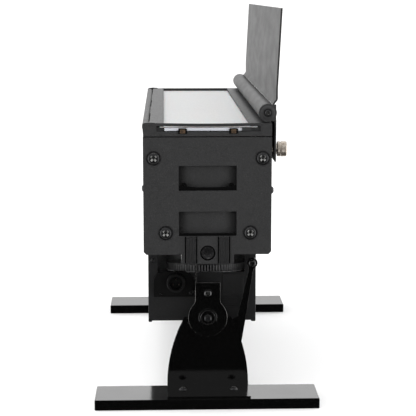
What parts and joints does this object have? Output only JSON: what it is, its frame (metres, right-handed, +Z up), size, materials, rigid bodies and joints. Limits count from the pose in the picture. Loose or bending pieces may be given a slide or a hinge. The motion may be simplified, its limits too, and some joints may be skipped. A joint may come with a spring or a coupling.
{
  "type": "led batten light",
  "caption": "Long lamp head with an opal diffuser, hinged lid and glare shield, tilting over a driver box between two uprights on flat bar feet.",
  "frame": {"origin": "on the floor under the middle of the bounding box, midway between the two feet", "axes": "+X across the head towards the glare shield, +Y along the head from the near end to the far end, +Z up"},
  "size_m": [0.254, 0.5314, 0.4478],
  "materials": {
    "textured_black": "fine textured powder coat",
    "gloss_black": "smooth gloss powder coat",
    "satin_black": "satin",
    "black_screw": "black oxide",
    "plain_steel": "nickel plated, turned and knurled",
    "opal": "opal, slightly satin",
    "clear_plastic": "clear",
    "aluminium": "mill finish",
    "copper": "dull brown plating",
    "board": "printed circuit board",
    "black_plastic": "moulded"
  },
  "bodies": {
    "stand": {"near_foot": "gloss_black", "far_foot": "gloss_black", "near_upright": "gloss_black", "far_upright": "gloss_black", "stay_clamp": "black_screw"},
    "head": {"cooling_disc": "satin_black", "driver_board": "board", "driver_box": "textured_black", "driver_cover": "textured_black", "far_box_end": "textured_black", "far_end_plate": "textured_black", "far_end_screw_1": "black_screw", "far_end_screw_2": "black_screw", "far_end_screw_3": "black_screw", "far_end_screw_4": "black_screw", "far_friction_washer": "black_plastic", "far_hanger": "gloss_black", "far_hanger_bolt": "black_screw", "far_pivot_bolt": "black_screw", "far_pivot_plate": "gloss_black", "far_vent_baffle": "satin_black", "far_vent_clip": "satin_black", "heat_sink": "aluminium", "hinge_leaf": "textured_black", "housing_shell": "textured_black", "inlet_flange": "black_plastic", "inlet_socket": "black_plastic", "led_board": "board", "led_lenses": "clear_plastic", "link_cable": "black_plastic", "mounting_rail": "aluminium", "near_box_end": "textured_black", "near_end_plate": "textured_black", "near_end_screw_1": "black_screw", "near_end_screw_2": "black_screw", "near_end_screw_3": "black_screw", "near_end_screw_4": "black_screw", "near_friction_washer": "black_plastic", "near_hanger": "gloss_black", "near_hanger_bolt": "black_screw", "near_pivot_bolt": "black_screw", "near_pivot_plate": "gloss_black", "near_vent_baffle": "satin_black", "near_vent_clip": "satin_black", "reflector": "opal", "stay_pin": "black_screw"},
    "lid": {"lid_frame": "textured_black", "hinge_pin": "plain_steel", "lens_plate": "clear_plastic", "left_sheet_clip": "copper", "right_sheet_clip": "copper", "shield_strip": "textured_black", "hinge_rod": "plain_steel"},
    "diffuser": {"diffuser_sheet": "opal"},
    "shield": {"shield_tube": "textured_black", "glare_shield": "textured_black"},
    "near_thumb": {"near_thumbscrew": "plain_steel"},
    "far_thumb": {"far_thumbscrew": "plain_steel"},
    "stay": {"tilt_stay": "gloss_black"}
  },
  "joints": [
    {"name": "head_tilt", "type": "hinge", "parent": "stand", "child": "head", "pos_m": [0.002, 0, 0.095], "axis": [0, -1, 0], "range_deg": [-20, 20]},
    {"name": "lid_open", "type": "hinge", "parent": "head", "child": "lid", "pos_m": [-0.0674, 0, 0.3208], "axis": [0, -1, 0], "range_deg": [0, 105]},
    {"name": "shield_fold", "type": "hinge", "parent": "lid", "child": "shield", "pos_m": [0.065, 0, 0.336], "axis": [0, -1, 0], "range_deg": [0, 98]},
    {"name": "diffuser_slide", "type": "slide", "parent": "lid", "child": "diffuser", "axis": [0, -1, 0], "range_m": [0, 0.45]},
    {"name": "near_thumb_turn", "type": "hinge", "parent": "lid", "child": "near_thumb", "pos_m": [0.0743, -0.238, 0.294], "axis": [1, 0, 0], "continuous": true},
    {"name": "far_thumb_turn", "type": "hinge", "parent": "lid", "child": "far_thumb", "pos_m": [0.0743, 0.238, 0.294], "axis": [1, 0, 0], "continuous": true},
    {"name": "stay_swing", "type": "hinge", "parent": "head", "child": "stay", "pos_m": [0.0535, -0.1975, 0.157], "axis": [0, -1, 0], "range_deg": [-6.5, 6.5]}
  ],
  "couplings": [
    {"joint": "stay_swing", "follows": "head_tilt", "ratio": -0.325}
  ]
}
